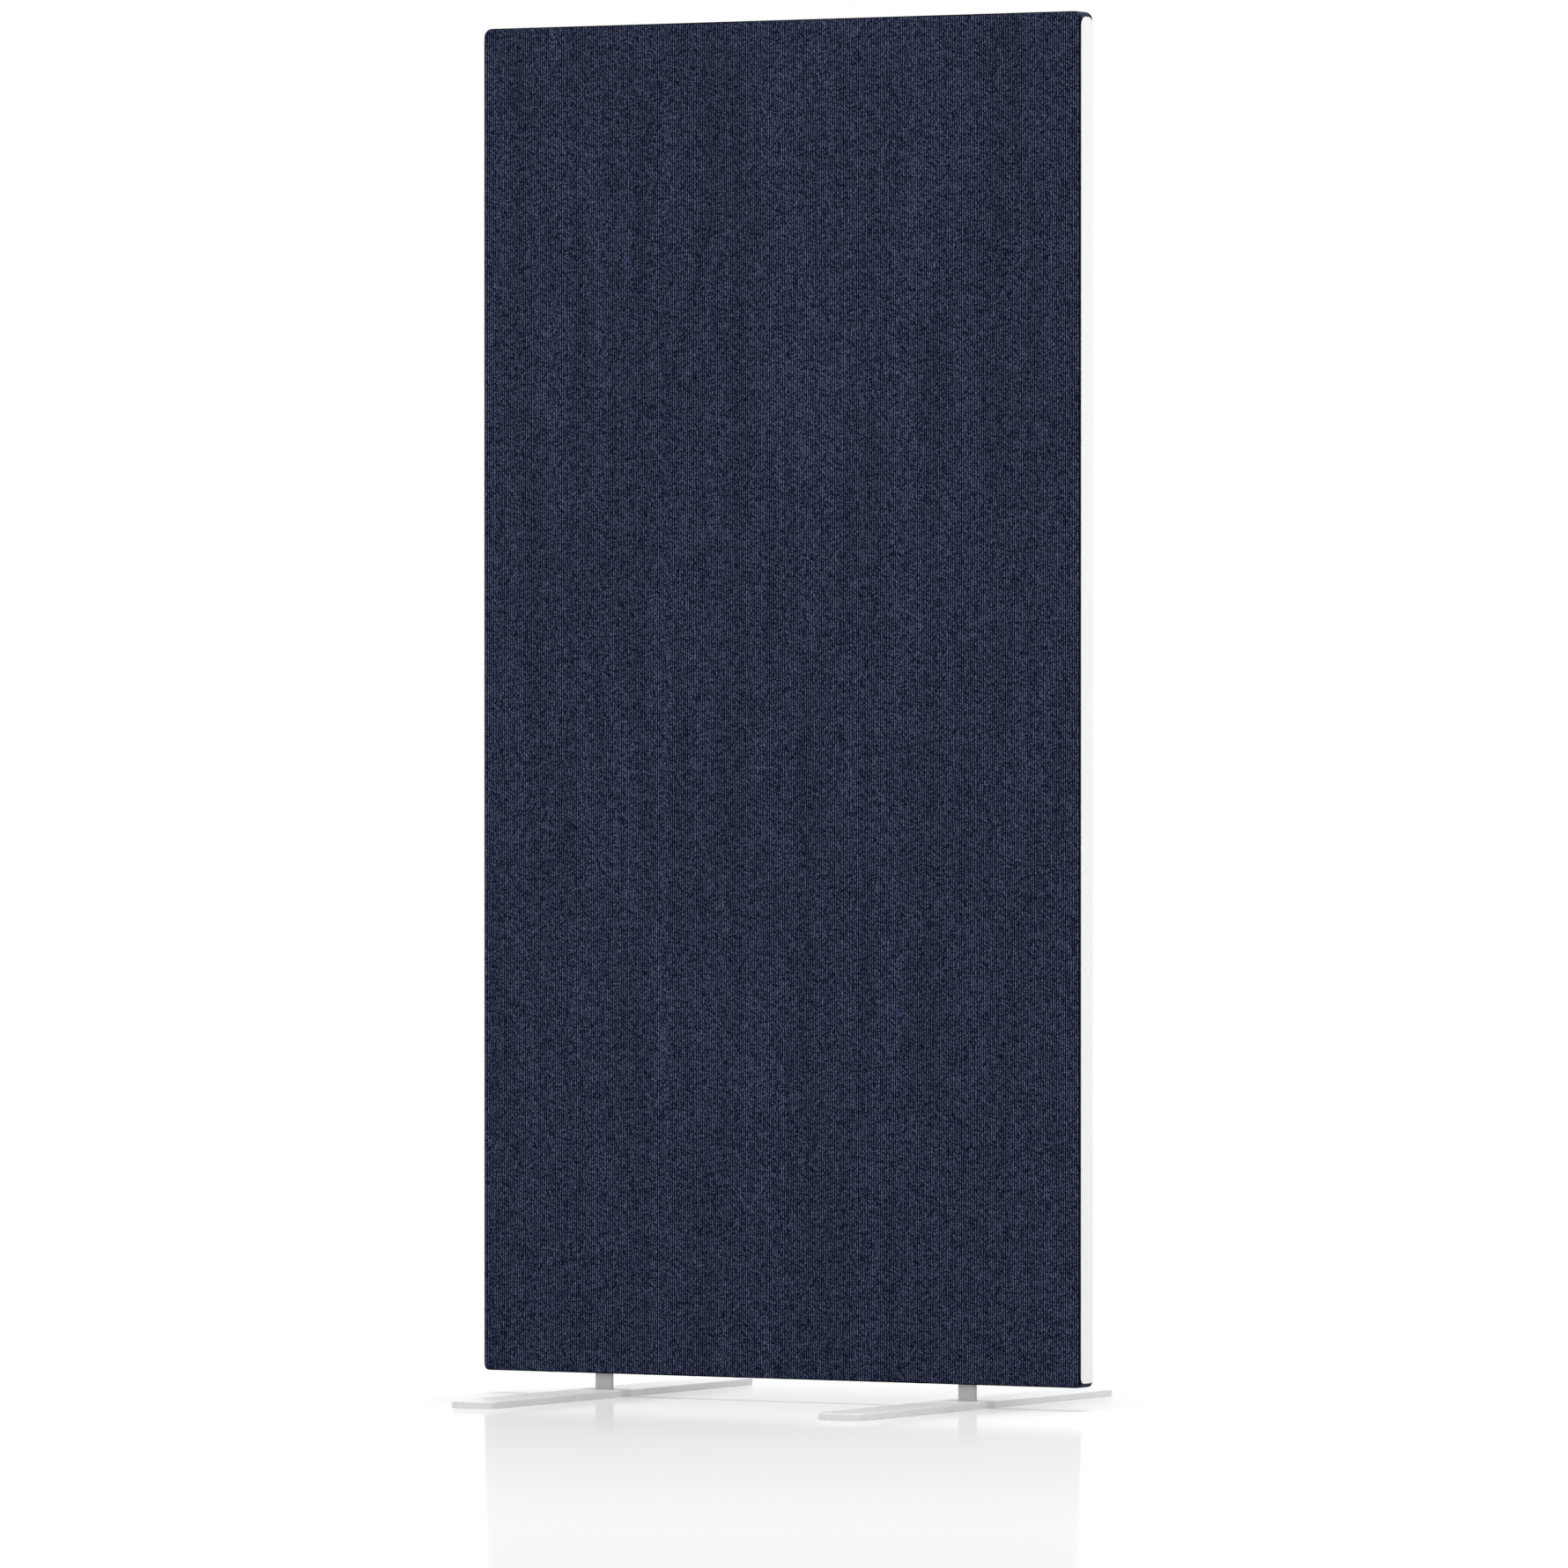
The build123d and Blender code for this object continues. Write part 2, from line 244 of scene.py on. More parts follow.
def object_from_points(name, points, faces):
    """A smooth object from points in metres and faces as lists of their indices."""
    mesh = bpy.data.meshes.new(name)
    mesh.from_pydata(points, [], faces)
    mesh.polygons.foreach_set("use_smooth", [True] * len(mesh.polygons))
    return link_object(name, mesh)


def object_from_shape(name, shape):
    """A smooth object from a mesh under construction, which is used up."""
    mesh = bpy.data.meshes.new(name)
    shape.to_mesh(mesh)
    shape.free()
    mesh.polygons.foreach_set("use_smooth", [True] * len(mesh.polygons))
    return link_object(name, mesh)


# Cloth cover

def rib_height(phase):
    """The height of the cloth across a rib, from 0 in the valley to 1 on the crest."""
    return abs(math.sin(math.pi * phase)) ** RIB_ROUNDNESS


def rib_columns():
    """The columns of the cloth across its face: each one's x, and its rib's number plus phase."""
    count = round(2 * FACE_HALF_WIDTH / RIB_PITCH)
    pitch = 2 * FACE_HALF_WIDTH / count
    valleys = [-FACE_HALF_WIDTH + i * pitch for i in range(count + 1)]
    for i in range(1, count):
        valleys[i] += random.uniform(-RIB_JITTER, RIB_JITTER) * pitch
    columns = []
    for i in range(count):
        width = valleys[i + 1] - valleys[i]
        columns += [(valleys[i] + phase * width, i + phase) for phase in RIB_PHASES]
    return columns + [(FACE_HALF_WIDTH, float(count))]


def inner_columns(columns):
    """The few columns that the flat inside of the cloth needs: all at the corners, and some between."""
    straight = HALF_WIDTH - TOP_RADIUS
    return [c for i, c in enumerate(columns) if abs(c[0]) > straight or i % INNER_STEP == 0]


def face_rows():
    """The rows of the cloth up its face, as shares of the height, with one at each end of the kerf."""
    low = COVER_LOW.z + BOTTOM_RADIUS
    high = COVER_HIGH.z - TOP_RADIUS
    strip_low, strip_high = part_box("edge_strip_left")
    kerf_low = (strip_low.z + TONGUE_MARGIN - low) / (high - low)
    kerf_high = (strip_high.z - TONGUE_MARGIN - low) / (high - low)
    between = [kerf_low + (kerf_high - kerf_low) * i / FACE_ROWS for i in range(FACE_ROWS + 1)]
    return [0.0] + between + [1.0]


def corner_border(x, radius):
    """How far the flat face's border has dropped at x, and its outward normal there."""
    past = max(0.0, abs(x) - (HALF_WIDTH - radius))
    lean = min(1.0, past / (radius - RIM_RADIUS))
    rise = math.sqrt(1 - lean * lean)
    return (radius - RIM_RADIUS) * (1 - rise), (math.copysign(lean, x), rise)


def wander(x, z):
    """The sideways drift of a rib at a place on the face, with none near the sides."""
    inside = min(1.0, max(0.0, (FACE_HALF_WIDTH - abs(x)) / WANDER_MARGIN))
    return inside * WANDER * noise.noise(Vector((x / WANDER_WIDTH, 0, z / WANDER_HEIGHT)))


class ClothHalf:
    """The front half of the cloth's outer or inner surface: its face, its rims and half its edges."""

    def __init__(self, columns, rows, depth, rib_depth):
        self.columns = columns
        self.rows = rows
        self.depth = depth
        self.rib_depth = rib_depth
        self.points = []
        self.uvs = []
        self.turns = []
        self.faces = []
        self.closed = set()
        self.build_face()
        self.build_edges()

    def vertex(self, point, uv, rim_shade=(0.0, 0.0)):
        """A new point, its place on the flat cloth and its share of the painted rim shade, front and
        rear.
        """
        self.points.append(point)
        self.uvs.append(uv)
        self.turns.append(rim_shade)
        return len(self.points) - 1

    def build_face(self):
        """The ribbed face, as a grid of the columns and rows."""
        self.grid = []
        for share in self.rows:
            row = []
            for x, rib in self.columns:
                low = COVER_LOW.z + RIM_RADIUS + corner_border(x, BOTTOM_RADIUS)[0]
                high = COVER_HIGH.z - RIM_RADIUS - corner_border(x, TOP_RADIUS)[0]
                z = low + share * (high - low)
                drift = wander(x, z) if 0 < share < 1 else 0
                y = -HALF_THICKNESS + self.depth + self.rib_depth * (1 - rib_height(rib))
                row.append(self.vertex((x + drift, y, z), (rib, z)))
            self.grid.append(row)
        for lower, upper in zip(self.grid, self.grid[1:]):
            for i in range(len(self.columns) - 1):
                self.faces.append((lower[i], lower[i + 1], upper[i + 1], upper[i]))

    def ring(self):
        """The face's border, anticlockwise: (row, column, normal, part of the border)."""
        last = len(self.columns) - 1
        top = len(self.rows) - 1
        places = []
        for i, (x, _) in enumerate(self.columns):
            lean, rise = corner_border(x, BOTTOM_RADIUS)[1]
            places.append((0, i, (lean, -rise), "corner" if abs(lean) > LEAN_MARGIN else "bottom"))
        places += [(r, last, (1.0, 0.0), "side") for r in range(1, top)]
        for i in range(last, -1, -1):
            places.append((top, i, corner_border(self.columns[i][0], TOP_RADIUS)[1], "top"))
        places += [(r, 0, (-1.0, 0.0), "side") for r in range(top - 1, 0, -1)]
        return places

    def section(self, x, part):
        """The way from the border round to the mid-plane: (outwards, y, direction to the inside)."""
        steps = []
        for i in range(1, RIM_STEPS + 1):
            angle = math.pi / 2 * i / RIM_STEPS
            y = -HALF_THICKNESS + RIM_RADIUS * (1 - math.cos(angle))
            steps.append((RIM_RADIUS * math.sin(angle), y, (math.sin(angle), math.cos(angle))))
        if part == "side":
            steps.append((RIM_RADIUS, -KERF_MOUTH, (1.0, 0.0)))
            steps.append((RIM_RADIUS - TURN_RADIUS, -KERF_WALL, (0.0, -1.0)))
            steps.append((RIM_RADIUS - TURN_IN, -KERF_WALL, (0.0, -1.0)))
            return steps
        end = 0.0
        if part == "bottom":
            end = -SLIT / 2
            for name in ("upright_left", "upright_right"):
                low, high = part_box(name)
                if low.x - POST_ROOM < x < high.x + POST_ROOM:
                    end = low.y - POST_ROOM
        for share in EDGE_SHARES:
            y = min(end, -share * (HALF_THICKNESS - RIM_RADIUS))
            steps.append((RIM_RADIUS, y, (1.0, 0.0)))
        return steps

    def build_edges(self):
        """The rims, on which the ribs flatten, and the edges up to the mid-plane.

        A line of painted shade follows each rim. It fades round the front corners and widens round the
        rear ones.
        """
        self.lines = []
        self.keys = []
        for row, column, normal, part in self.ring():
            x, rib = self.columns[column]
            start = self.grid[row][column]
            base_x, _, base_z = self.points[start]
            line = [start]
            way = 0.0
            before = (0.0, -HALF_THICKNESS)
            for step, (out, y, inwards) in enumerate(self.section(x, part)):
                way += math.dist((out, y), before)
                before = (out, y)
                round_rim = min(1.0, (step + 1) / RIM_STEPS)
                turned = rib_height(min(0.5, (step + 1) / (RIM_STEPS + 1)))
                height = turned + (rib_height(rib) - turned) * normal[1] ** 2
                height += (1 - height) * RIM_FLATTENING * round_rim
                sunk = self.depth + self.rib_depth * (1 - height)
                reach = out - sunk * inwards[0]
                place = (base_x + normal[0] * reach, y + sunk * inwards[1], base_z + normal[1] * reach)
                uv = (rib + normal[0] * way / RIB_PITCH, base_z + normal[1] * way)
                # Painted shade on the rim: full on the rounded rim, none round the front corners, wider
                # round the rear ones
                dark = round_rim if step < RIM_STEPS or part == "side" else 0.0
                slant = (2 * normal[0] * normal[1]) ** 2
                rear_shade = max(dark, slant * CORNER_SHADE) if step == RIM_STEPS else dark
                line.append(self.vertex(place, uv, (dark * (1 - slant), rear_shade)))
            self.lines.append(line)
            self.keys.append((part, rib if part == "bottom" else row))
            if part in ("top", "corner"):
                self.closed.add(line[-1])
        for line, after in zip(self.lines, self.lines[1:] + self.lines[:1]):
            for i in range(len(line) - 1):
                self.faces.append((line[i], line[i + 1], after[i + 1], after[i]))

    def open_runs(self):
        """The stretches of the mid-plane's border that stay open: (vertices, keys between the ends)."""
        ends = [(key, line[-1]) for key, line in zip(self.keys, self.lines)]
        runs = []
        for part, side in (("bottom", 0), ("side", 1), ("side", -1)):
            found = [i for i, (key, _) in enumerate(ends) if key[0] == part]
            if side:
                middle = len(ends) / 2 + len(self.rows) / 2
                found = [i for i in found if (i < middle) == (side > 0)]
            before = ends[found[0] - 1][1]
            after = ends[(found[-1] + 1) % len(ends)][1]
            vertices = [before] + [ends[i][1] for i in found] + [after]
            runs.append((vertices, [ends[i][0][1] for i in found]))
        return runs


def zip_rim(outer, inner):
    """Triangles between two borders, each a list of (key, vertex) with keys that rise together."""
    faces = []
    i = j = 0
    while i < len(outer) - 1 or j < len(inner) - 1:
        if j == len(inner) - 1 or (i < len(outer) - 1 and outer[i + 1][0] <= inner[j + 1][0]):
            faces.append((outer[i][1], inner[j][1], outer[i + 1][1]))
            i += 1
        else:
            faces.append((outer[i][1], inner[j][1], inner[j + 1][1]))
            j += 1
    return faces


def keyed(run):
    """An open run as (key, vertex), its ends with keys just past those of its first and last."""
    vertices, keys = run
    if keys[0] > keys[-1]:
        keys = [-key for key in keys]
    keys = [keys[0] - 1] + list(keys) + [keys[-1] + 1]
    return list(zip(keys, vertices))


def make_cover():
    """The whole cloth: outside and inside, front and rear, closed where its edges end."""
    columns = rib_columns()
    rows = face_rows()
    outer = ClothHalf(columns, rows, 0.0, RIB_DEPTH)
    inner = ClothHalf(inner_columns(columns), rows, CLOTH_THICKNESS, 0.0)
    offset = len(outer.points)
    points = outer.points + inner.points
    uvs = outer.uvs + inner.uvs
    turns = outer.turns + inner.turns
    faces = list(outer.faces)
    faces += [tuple(v + offset for v in reversed(face)) for face in inner.faces]
    for outer_run, inner_run in zip(outer.open_runs(), inner.open_runs()):
        inside = [(key, v + offset) for key, v in keyed(inner_run)]
        faces += zip_rim(keyed(outer_run), inside)
    closed = outer.closed | {v + offset for v in inner.closed}
    twin = {}
    for i in range(len(points)):
        if i in closed:
            twin[i] = i
        else:
            x, y, z = points[i]
            twin[i] = len(points)
            points.append((x, -y, z))
            turns.append((turns[i][1], turns[i][1]))
    rear = [tuple(twin[v] for v in reversed(face)) for face in faces]
    cover = object_from_points("cover_cloth", points, faces + rear)
    layer = cover.data.uv_layers.new(name="weave")
    flat = []
    for face in faces:
        for v in face:
            flat += uvs[v]
    for face in faces:
        for v in reversed(face):
            flat += (uvs[v][0], 2 * WRAP_TOP - uvs[v][1])
    layer.data.foreach_set("uv", flat)
    # The front share of the painted rim shade, for the cloth finish
    rim = cover.data.attributes.new("rim", "FLOAT", "POINT")
    rim.data.foreach_set("value", [front for front, _ in turns])
    return cover


# Foam and felt

def rounded_outline(low, high, bottom_radius, top_radius):
    """An upright rectangle with rounded corners, as (x, z) points, anticlockwise from the front."""
    corners = (
        (high.x, low.z, bottom_radius, -90),
        (high.x, high.z, top_radius, 0),
        (low.x, high.z, top_radius, 90),
        (low.x, low.z, bottom_radius, 180),
    )
    points = []
    for x, z, radius, start in corners:
        centre_x = x - math.copysign(radius, x)
        centre_z = z + radius if z == low.z else z - radius
        for i in range(OUTLINE_STEPS + 1):
            angle = math.radians(start + 90 * i / OUTLINE_STEPS)
            points.append((centre_x + radius * math.cos(angle), centre_z + radius * math.sin(angle)))
    return points


def soft_slab(name, node, room, radii, rim, wave):
    """A foam or felt slab in its CAD node's space: bottom and top radius, soft rims, uneven faces."""
    low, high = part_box(node)
    gap = Vector((room, room, room))
    low, high = low + gap, high - gap
    shape = bmesh.new()
    outline = rounded_outline(low, high, *radii)
    front = shape.faces.new([shape.verts.new((x, low.y, z)) for x, z in outline])
    moved = bmesh.ops.extrude_face_region(shape, geom=[front])["geom"]
    moved = [v for v in moved if isinstance(v, bmesh.types.BMVert)]
    bmesh.ops.translate(shape, vec=(0, high.y - low.y, 0), verts=moved)
    bmesh.ops.recalc_face_normals(shape, faces=shape.faces)
    rims = [e for e in shape.edges if abs(e.verts[0].co.y - e.verts[1].co.y) < LEVEL_MARGIN]
    bmesh.ops.bevel(shape, geom=rims, offset=rim, segments=SOFT_RIM_STEPS, profile=0.5, affect="EDGES")
    for axis in (0, 2):
        count = int((high[axis] - low[axis]) / SOFT_STEP)
        for i in range(1, count):
            place = Vector((0, 0, 0))
            place[axis] = low[axis] + (high[axis] - low[axis]) * i / count
            direction = Vector((0, 0, 0))
            direction[axis] = 1
            everything = list(shape.verts) + list(shape.edges) + list(shape.faces)
            bmesh.ops.bisect_plane(shape, geom=everything, plane_co=place, plane_no=direction)
    middle = (low.y + high.y) / 2
    for v in shape.verts:
        dent = wave * (0.5 + 0.5 * noise.noise(v.co / (2 * SOFT_STEP)))
        v.co.y -= math.copysign(dent, v.co.y - middle)
    return object_from_shape(name, shape)


# Finishes

class Finish:
    """A material made of shader nodes, with short calls for what the finishes share."""

    def __init__(self, name, roughness, metallic=0.0):
        self.material = bpy.data.materials.new(name)
        self.material.use_nodes = True
        self.tree = self.material.node_tree
        self.shader = self.tree.nodes["Principled BSDF"]
        self.shader.inputs["Roughness"].default_value = roughness
        self.shader.inputs["Metallic"].default_value = metallic

    def put(self, socket, value):
        """Links an output to a socket, or sets the socket to a value."""
        if isinstance(value, bpy.types.NodeSocket):
            self.tree.links.new(value, socket)
        elif hasattr(value, "__len__") and len(value) == 3 and len(socket.default_value) == 4:
            socket.default_value = (*value, 1)
        else:
            socket.default_value = value

    def node(self, kind, inputs=(), **settings):
        made = self.tree.nodes.new("ShaderNode" + kind)
        for key, value in settings.items():
            setattr(made, key, value)
        for key, value in dict(inputs).items():
            self.put(made.inputs[key], value)
        return made

    def math(self, operation, a, b=0.0, clamp=False):
        made = self.node("Math", {0: a, 1: b}, operation=operation, use_clamp=clamp)
        return made.outputs[0]

    def place(self):
        """The place on the piece, in metres in the row frame."""
        return self.node("TexCoord").outputs["Object"]

    def scaled(self, vector, *scale):
        made = self.node("VectorMath", {0: vector, 1: scale}, operation="MULTIPLY")
        return made.outputs[0]

    def noise(self, vector, scale=1.0, detail=2.0, roughness=0.5, distortion=0.0):
        inputs = {"Vector": vector, "Scale": scale, "Detail": detail}
        inputs.update({"Roughness": roughness, "Distortion": distortion})
        return self.node("TexNoise", inputs).outputs["Fac"]

    def cells(self, vector, scale, output="Distance"):
        return self.node("TexVoronoi", {"Vector": vector, "Scale": scale}).outputs[output]

    def cell_tone(self, vector, size):
        """A random value for each cell of a size."""
        colour = self.cells(vector, 1 / size, "Color")
        return self.node("SeparateXYZ", {"Vector": colour}).outputs["X"]

    def spread(self, value, low, high, to_low=0.0, to_high=1.0):
        """Carries a value from one range to another, without leaving it."""
        inputs = {"Value": value, "From Min": low, "From Max": high}
        inputs.update({"To Min": to_low, "To Max": to_high})
        return self.node("MapRange", inputs).outputs["Result"]

    def vary(self, value, to_low, to_high):
        """Carries the range that most of a noise lies in to another range."""
        return self.spread(value, *NOISE_RANGE, to_low, to_high)

    def long_noise(self, vector, axis, size, *settings):
        """A noise whose cells have one size across and another along an axis."""
        scale = [1 / size[0]] * 3
        scale[axis] = 1 / size[1]
        return self.noise(self.scaled(vector, *scale), 1.0, *settings)

    def mix(self, share, low, high):
        made = self.node("Mix", data_type="RGBA")
        self.put(made.inputs["Factor"], share)
        self.put(made.inputs[6], low)
        self.put(made.inputs[7], high)
        return made.outputs[2]

    def ramp(self, value, stops):
        """A colour from stops of (position, colour), blended evenly between them."""
        made = self.node("ValToRGB", {"Fac": value})
        elements = made.color_ramp.elements
        elements[0].position = stops[0][0]
        elements[0].color = (*stops[0][1], 1)
        elements[1].position = stops[-1][0]
        elements[1].color = (*stops[-1][1], 1)
        for position, colour in stops[1:-1]:
            elements.new(position).color = (*colour, 1)
        return made.outputs["Color"]

    def shade(self, colour, factor):
        """A colour made lighter or darker by a factor."""
        made = self.node("VectorMath", {0: colour}, operation="SCALE")
        self.put(made.inputs["Scale"], factor)
        return made.outputs[0]

    def bump(self, height, distance, strength=1.0):
        made = self.node("Bump", {"Height": height, "Distance": distance, "Strength": strength})
        self.put(self.shader.inputs["Normal"], made.outputs["Normal"])

    def colour(self, value):
        self.put(self.shader.inputs["Base Color"], value)

    def rough(self, value):
        self.put(self.shader.inputs["Roughness"], value)


def cloth_finish():
    """A ribbed knit of navy melange yarn: painted shade in the valleys, stitches of uneven tone and
    soft streaks.
    """
    f = Finish("navy_rib_knit", 0.9)
    f.shader.inputs["Sheen Weight"].default_value = CLOTH_SHEEN
    f.shader.inputs["Sheen Roughness"].default_value = CLOTH_SHEEN_ROUGHNESS
    f.shader.inputs["Specular IOR Level"].default_value = CLOTH_SPECULAR
    weave = f.node("UVMap", uv_map="weave").outputs["UV"]
    parts = f.node("SeparateXYZ", {"Vector": weave})
    across, along = parts.outputs["X"], parts.outputs["Y"]
    phase = f.math("FRACT", across)
    rib = f.math("FLOOR", across)
    half_rib = f.math("FLOOR", f.math("MULTIPLY", across, 2))
    shift = f.node("TexWhiteNoise", {"W": half_rib}, noise_dimensions="1D").outputs["Value"]
    course = f.math("ADD", f.math("DIVIDE", along, COURSE), shift)

    # Tone of each leg of a stitch, of dashes a few stitches long and of the fibres
    from_middle = f.math("ABSOLUTE", f.math("SUBTRACT", phase, 0.5))
    lean = f.math("ADD", course, f.math("MULTIPLY", from_middle, STITCH_LEAN))
    half_course = f.math("FLOOR", f.math("MULTIPLY", lean, 2))
    leg_place = f.node("CombineXYZ", {"X": half_rib, "Y": half_course}).outputs[0]
    leg = f.node("TexWhiteNoise", {"Vector": leg_place}, noise_dimensions="2D").outputs["Value"]
    dash_column = f.math("MULTIPLY", rib, DASH_SHIFT)
    dash_place = f.node("CombineXYZ", {"X": dash_column, "Y": course}).outputs[0]
    dash = f.noise(dash_place, DASH_SCALE, 1.0)
    fine_across = f.math("MULTIPLY", across, FIBRES_ACROSS)
    fine_along = f.math("MULTIPLY", course, FIBRES_ALONG)
    fibre_place = f.node("CombineXYZ", {"X": fine_across, "Y": fine_along}).outputs[0]
    fibre = f.noise(fibre_place, FIBRE_SCALE, 2.0, 0.7)
    # Painted shade in the valleys: the yarn goes dark away from the crest of each rib
    valley = f.math("ADD", VALLEY_FROM, f.math("MULTIPLY", leg, VALLEY_SPREAD))
    valley_shade = f.spread(from_middle, valley, CREST_FROM)
    twist = f.math("COSINE", f.math("MULTIPLY", lean, 4 * math.pi))
    twist = f.math("SUBTRACT", 0.5, f.math("MULTIPLY", twist, 0.5))
    tone = CREST_TONE
    weights = ((leg, LEG_TONE), (dash, DASH_TONE), (fibre, FIBRE_TONE), (twist, TWIST_TONE))
    for value, weight in weights:
        tone = f.math("ADD", tone, f.math("MULTIPLY", f.math("SUBTRACT", value, 0.5), weight))
    yarn = f.ramp(f.math("MULTIPLY", tone, valley_shade, clamp=True), YARN_TONES)

    # Soft cloudy streaks along the ribs
    for width, height, strength in STREAKS:
        streak = f.noise(f.scaled(weave, RIB_PITCH / width, 1 / height, 1), 1.0, 2.0)
        yarn = f.shade(yarn, f.vary(streak, 1 - strength, 1 + strength))
    # Painted shade along the rims and silhouette edges of the cloth
    rim = f.node("Attribute", attribute_name="rim").outputs["Fac"]
    f.colour(f.shade(yarn, f.spread(rim, 0.0, RIM_SHADE_FROM, 1.0, RIM_SHADE_TONE)))

    height = 0.0
    for value, rise in ((twist, TWIST_HEIGHT), (fibre, FIBRE_HEIGHT), (leg, LEG_HEIGHT)):
        height = f.math("ADD", height, f.math("MULTIPLY", value, rise))
    f.bump(height, YARN_BUMP)
    return f.material


def foam_finish():
    """Grey open-celled foam, with painted shade in its pores."""
    f = Finish("open_cell_foam", 0.95)
    place = f.place()
    pores = f.cells(place, 1 / FOAM_PORE)
    patches = f.noise(place, 1 / FOAM_PATCH, 3.0)
    # Painted shade in the pores: darker towards each pore's middle, where the bump sinks
    colour = f.mix(f.spread(pores, *FOAM_PORE_SHADE_RANGE), *FOAM_TONES)
    f.colour(f.shade(colour, f.vary(patches, *FOAM_PATCH_TONE)))
    f.bump(pores, FOAM_DEPTH)
    return f.material


def felt_finish():
    """Pale grey felt of tangled fibres with darker flecks."""
    f = Finish("fibre_felt", 0.95)
    place = f.place()
    fibres = f.noise(place, 1 / FELT_FIBRE, 5.0, 0.7, 2.5)
    flecks = f.spread(f.noise(place, 1 / FELT_FLECK, 3.0, 0.8), *FLECK_RANGE)
    colour = f.mix(f.vary(fibres, 0.0, 1.0), *FELT_TONES)
    f.colour(f.mix(f.math("MULTIPLY", flecks, FLECK_SHARE), colour, FLECK_TONE))
    f.bump(fibres, FELT_DEPTH)
    return f.material


def timber_finish(name, axis, light, dark):
    """Planed softwood or beech, with its grain along one axis of the row frame."""
    f = Finish(name, 0.55)
    place = f.place()
    rings = f.long_noise(place, axis, RING_SIZE, 2.0, 0.5, 0.6)
    bands = f.math("FRACT", f.math("MULTIPLY", rings, RING_COUNT))
    pores = f.long_noise(place, axis, TIMBER_PORE, 2.0)
    f.colour(f.shade(f.mix(bands, light, dark), f.vary(pores, *TIMBER_PORE_TONE)))
    f.rough(f.vary(pores, *TIMBER_ROUGHNESS))
    f.bump(pores, TIMBER_DEPTH)
    return f.material


def zinc_finish():
    """Bright zinc on steel, with faint spangle."""
    f = Finish("bright_zinc", 0.35, metallic=1.0)
    place = f.place()
    scuffs = f.noise(place, 1 / ZINC_SCUFF, 4.0, 0.7)
    f.colour(f.mix(f.cell_tone(place, SPANGLE), *ZINC_TONES))
    f.rough(f.vary(scuffs, *ZINC_ROUGHNESS))
    f.bump(scuffs, ZINC_DEPTH)
    return f.material


def strip_finish():
    """White extruded plastic: a fine drawn grain along its length."""
    f = Finish("white_strip", 0.4)
    place = f.place()
    drawn = f.long_noise(place, 2, STRIP_LINE, 3.0)
    grain = f.noise(place, 1 / STRIP_GRAIN, 2.0)
    cloud = f.noise(place, 1 / STRIP_CLOUD, 2.0)
    f.colour(f.shade(f.mix(cloud, *STRIP_TONES), f.vary(drawn, *STRIP_LINE_TONE)))
    f.rough(f.vary(grain, *STRIP_ROUGHNESS))
    f.bump(f.math("ADD", drawn, f.math("MULTIPLY", grain, 0.5)), STRIP_DEPTH)
    return f.material


def lacquer_finish(name, dark, light):
    """Satin silver-grey lacquer on steel, with orange peel, fine flake and faint scuffs."""
    f = Finish(name, 0.4)
    f.shader.inputs["Specular IOR Level"].default_value = LACQUER_SPECULAR
    place = f.place()
    peel = f.noise(place, 1 / PEEL, 2.0)
    cloud = f.noise(place, 1 / LACQUER_CLOUD, 3.0)
    scuffs = f.spread(f.long_noise(place, 1, SCUFF, 4.0, 0.75, 0.4), *SCUFF_RANGE)
    colour = f.mix(f.cell_tone(place, FLAKE), dark, light)
    colour = f.shade(colour, f.vary(cloud, *LACQUER_CLOUD_TONE))
    f.colour(f.mix(f.math("MULTIPLY", scuffs, SCUFF_SHARE), colour, SCUFF_TONE))
    f.rough(f.spread(f.math("ADD", cloud, scuffs), *LACQUER_ROUGH_RANGE, *LACQUER_ROUGHNESS))
    f.bump(peel, PEEL_DEPTH)
    return f.material


def rubber_finish():
    """Pale sheet rubber with a fine matt grain, its near-white tone partly the rubber's own and partly
    a painted highlight along the plates' bottom edges.
    """
    f = Finish("pad_rubber", 0.8)
    grain = f.noise(f.place(), 1 / RUBBER_GRAIN, 3.0, 0.6)
    f.colour(f.mix(grain, *RUBBER_TONES))
    f.bump(grain, RUBBER_DEPTH)
    return f.material


# Pieces

def set_finish(piece, material):
    piece.data.materials.clear()
    piece.data.materials.append(material)


def dress_soft_pieces():
    """The cloth, foam and felt that stand for their CAD solids."""
    foam = foam_finish()
    felt = felt_finish()
    for side in ("front", "rear"):
        node = "facing_" + side
        piece = soft_slab(node + "_foam", node, FOAM_ROOM, FOAM_RADII, FOAM_RIM, FOAM_WAVE)
        set_finish(piece, foam)
        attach(piece, "root")
        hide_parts(node)
    for level in ("upper", "lower"):
        node = "absorber_" + level
        piece = soft_slab(node + "_felt", node, FELT_ROOM, FELT_RADII, FELT_RIM, FELT_WAVE)
        set_finish(piece, felt)
        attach(piece, "root")
        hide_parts(node)
    cover = make_cover()
    set_finish(cover, cloth_finish())
    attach(cover, "root")
    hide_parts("cover")


def dress_hard_pieces():
    """The finishes of the CAD pieces that stay."""
    zinc = zinc_finish()
    finishes = {
        "stile_": timber_finish("pine_upright", 2, *PINE_TONES),
        "rail_": timber_finish("pine_across", 0, *PINE_TONES),
        "frame_dowels": timber_finish("beech_dowel", 0, *BEECH_TONES),
        "cover_staples": zinc,
        "socket_": zinc,
        "edge_strip_": strip_finish(),
        # The uprights take a darker copy of the plates' lacquer, as painted shade under the panel
        "upright_": lacquer_finish("silver_lacquer_post_shaded", *POST_SHADED_TONES),
        "foot_plate_": lacquer_finish("silver_lacquer_plate", *PLATE_TONES),
        "foot_pad_": rubber_finish(),
    }
    for name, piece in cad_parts.items():
        for start, material in finishes.items():
            if name.startswith(start):
                set_finish(piece, material)


# Floor, light and camera

